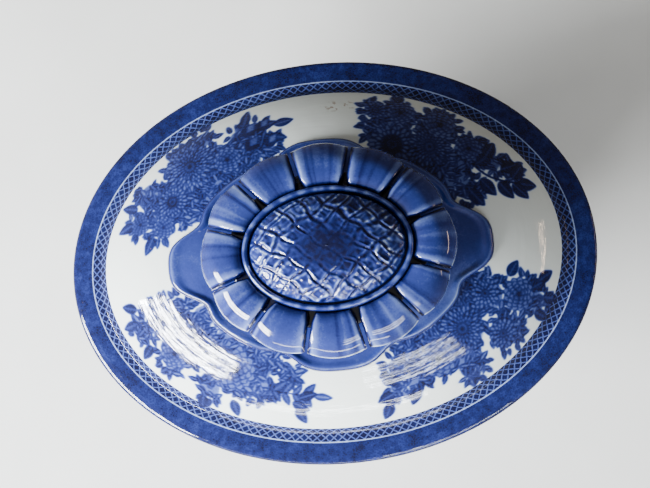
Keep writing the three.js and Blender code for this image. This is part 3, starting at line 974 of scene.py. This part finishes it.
def make_strap(hand, side, strand, phase):
    """A ribbed strap swept along its twisted path."""
    path = strap_path(side, phase)
    tangent = np.gradient(path, axis=0)
    tangent /= np.linalg.norm(tangent, axis=1)[:, None]
    normal = np.cross(tangent, [0, 0, 1.0])
    normal /= np.linalg.norm(normal, axis=1)[:, None]
    binormal = np.cross(normal, tangent)
    around = 2 * np.pi * np.arange(40) / 40
    ribs = 1 + 0.075 * np.cos(5 * around)
    rows, tones = [], []
    for centre, n, b in zip(path, normal, binormal):
        spoke = np.cos(around)[:, None] * n + np.sin(around)[:, None] * b
        rows.append(centre + HANDLE["radius"] * ribs[:, None] * 0.95 * spoke)
        tones.append(0.5 - 0.24 * (ribs - 1) / 0.075)
    ends = [path[:1], path[-1:]]
    rows = [ends[0]] + rows + [ends[1]]
    tones = [np.array([0.5])] + tones + [np.array([0.5])]
    faces = row_faces(rows)
    name = f"handle_{hand}_strap_{strand}"
    piece = mesh_piece(name + "_glazed", np.vstack(rows), faces, np.concatenate(tones), glazed)
    finish_piece(piece, "bowl", "cobalt_wash", name)


LEAF = dict(length=34, width=19, height=4.6, tilt=math.radians(22), arc=math.radians(31), from_middle=16)


def make_leaf(hand, side, number, front, up):
    """A moulded leaf that hugs the bowl's wall over the end of a strap."""
    along = np.linspace(0.0, 1.0, 61)
    across = np.linspace(-1, 1, 41)
    u, v = np.meshgrid(along, across, indexing="ij")
    lobes = 1 + 0.09 * np.abs(np.sin(u * np.pi * 4.5))
    half = 0.5 * LEAF["width"] * np.sin(np.pi * np.clip(u * 0.97 + 0.03, 0, 1) ** 0.8) ** 0.8 * lobes
    p = (u - 0.5) * LEAF["length"]
    q = v * half
    dome = (1 - np.abs(v) ** 2.6) * np.sin(np.pi * np.clip(u * 0.96 + 0.04, 0, 1)) ** 0.5
    midrib = np.exp(-(q / 0.9) ** 2)
    veins = np.abs(np.sin((u * LEAF["length"] - 0.8 * np.abs(q)) * np.pi / 4.4))
    height = LEAF["height"] * dome - 0.9 * midrib * (dome > 0) - 0.8 * (1 - veins) ** 3 * dome - 0.7
    tilt = LEAF["tilt"] * up
    level = p * math.cos(tilt) - q * math.sin(tilt)
    z = HANDLE_Z + up * LEAF["from_middle"] + p * math.sin(tilt) + q * math.cos(tilt)
    a = wall_length(z)
    speed = np.hypot(a * math.sin(LEAF["arc"]), bowl_minor(a) * math.cos(LEAF["arc"]))
    angle = LEAF["arc"] + level / speed
    normal = np.stack([np.cos(angle) * BOWL_ASPECT, np.sin(angle), -0.15 * np.ones_like(angle)], axis=-1)
    normal /= np.linalg.norm(normal, axis=-1)[..., None]
    wall = np.stack([a * np.cos(angle), bowl_minor(a) * np.sin(angle), z], axis=-1)
    top = wall + height[..., None] * normal
    bottom = top - (height + 2.2)[..., None] * normal
    grid = np.concatenate([top, bottom[:, ::-1]], axis=1)
    grid = grid * [side, front, 1]
    rows = list(grid)
    ends = [rows[0].mean(axis=0, keepdims=True), rows[-1].mean(axis=0, keepdims=True)]
    rows = [ends[0]] + rows + [ends[1]]
    shade = 0.34 + 0.34 * midrib + 0.3 * (1 - veins) ** 2 + 0.2 * np.abs(v) ** 6
    tone = np.concatenate([shade, np.full_like(shade, 0.7)], axis=1)
    tone = np.concatenate([[0.6], np.clip(tone, 0, 1).ravel(), [0.6]])
    faces = row_faces(rows)
    if side * front < 0:
        faces = [face[::-1] for face in faces]
    name = f"handle_{hand}_leaf_{number}"
    piece = mesh_piece(name + "_glazed", np.vstack(rows), faces, tone, glazed)
    finish_piece(piece, "bowl", "cobalt_wash", name)


def make_handles():
    for hand, side in (("left", -1), ("right", 1)):
        for strand, phase in (("a", 0), ("b", 1)):
            make_strap(hand, side, strand, phase)
        number = 1
        for front in (-1, 1):
            for up in (-1, 1):
                make_leaf(hand, side, number, front, up)
                number += 1


# ---------------------------------------------------------------- stage

def make_camera():
    """Nearly straight above the cover, with the long axis a little off level in the frame."""
    rim_share = 0.81276  # of the frame's width, for the cover's length seen square on at the rim
    height = 520 * MM
    turn = math.radians(5.1)
    right = Vector((math.cos(turn), -math.sin(turn), 0))
    up = Vector((math.sin(turn), math.cos(turn), 0))
    rim = Vector((0, 0, (COVER_Z + 5) * MM))
    target = rim - right * 4.5 * MM + up * 9.3 * MM
    place = rim + right * 17 * MM - up * 40 * MM + Vector((0, 0, height))
    camera = bpy.data.objects.new("camera", bpy.data.cameras.new("camera"))
    back = (place - target).normalized()
    side = up.cross(back).normalized()
    facing = Matrix((side, back.cross(side), back)).transposed().to_4x4()
    camera.matrix_world = Matrix.Translation(place) @ facing
    camera.data.sensor_width = 36
    camera.data.lens = camera.data.sensor_width * rim_share * height / (2 * RIM_LENGTH * MM)
    bpy.context.scene.collection.objects.link(camera)
    bpy.context.scene.camera = camera


DAYLIGHT = (0.93, 0.97, 1.0)
SKYLIGHT = (0.86, 0.93, 1.0)
LAMPLIGHT = (1.0, 0.72, 0.5)
WINDOW_STRIPS = 3
STRIP_SPACING = 0.25


def area_light(name, place, target, size, power, colour, size_y):
    """A rectangular light of a size in metres and a power in watts, turned towards its target."""
    light = bpy.data.lights.new(name, "AREA")
    light.energy = power
    light.color = colour
    light.shape = "RECTANGLE"
    light.size = size
    light.size_y = size_y
    lamp = bpy.data.objects.new(name, light)
    lamp.location = place
    direction = Vector(target) - Vector(place)
    lamp.rotation_euler = direction.to_track_quat("-Z", "Y").to_euler()
    bpy.context.scene.collection.objects.link(lamp)


def make_stage():
    floor = bpy.data.meshes.new("floor")
    reach = 3.0
    corners = [(-reach, -reach, 0), (reach, -reach, 0), (reach, reach, 0), (-reach, reach, 0)]
    floor.from_pydata(corners, [], [(0, 1, 2, 3)])
    floor.materials.append(floor_material())
    ground = bpy.data.objects.new("floor", floor)
    bpy.context.scene.collection.objects.link(ground)
    ground.visible_glossy = False

    centre = (0, 0, 0.2)
    for strip in range(WINDOW_STRIPS):
        lift = STRIP_SPACING * (strip - 1)
        area_light(f"window_{strip}", (-1.33, -0.78, 0.85 + lift), centre, 1.3, 64, DAYLIGHT, 0.08)
        area_light(f"side_window_{strip}", (0.55, -1.4, 0.92 + lift), centre, 0.9, 5, SKYLIGHT, 0.055)
    area_light("low_window", (-0.15, -1.5, 0.14), centre, 1.5, 7, DAYLIGHT, 0.06)
    area_light("warm", (1.3, 0.0, 0.3), centre, 0.5, 0.8, LAMPLIGHT, 0.03)
    make_room()


def make_room():
    """Soft light from all round: bright on the windows' side and dim overhead and opposite them."""
    world = bpy.data.worlds.new("world")
    world.use_nodes = True
    tree = world.node_tree
    direction = tree.nodes.new("ShaderNodeTexCoord")
    toward = tree.nodes.new("ShaderNodeVectorMath")
    toward.operation = "DOT_PRODUCT"
    toward.inputs[1].default_value = Vector((-0.75, -0.62, -0.2)).normalized()
    tree.links.new(direction.outputs["Generated"], toward.inputs[0])
    spread = tree.nodes.new("ShaderNodeMapRange")
    spread.inputs["From Min"].default_value = -0.9
    tree.links.new(toward.outputs["Value"], spread.inputs["Value"])
    room = tree.nodes.new("ShaderNodeValToRGB")
    tree.links.new(spread.outputs["Result"], room.inputs["Fac"])
    low, high = room.color_ramp.elements
    low.position, low.color = 0.15, (0.125, 0.112, 0.1, 1)
    high.position, high.color = 0.95, (1.0, 1.0, 0.97, 1)
    background = tree.nodes["Background"]
    tree.links.new(room.outputs["Color"], background.inputs["Color"])
    background.inputs["Strength"].default_value = 0.68
    bpy.context.scene.world = world


make_camera()
make_cover()
make_flange()
make_calyx()
make_stem()
make_petals()
make_ridge()
make_boss()
make_bowl()
make_foot()
make_handles()
make_stage()
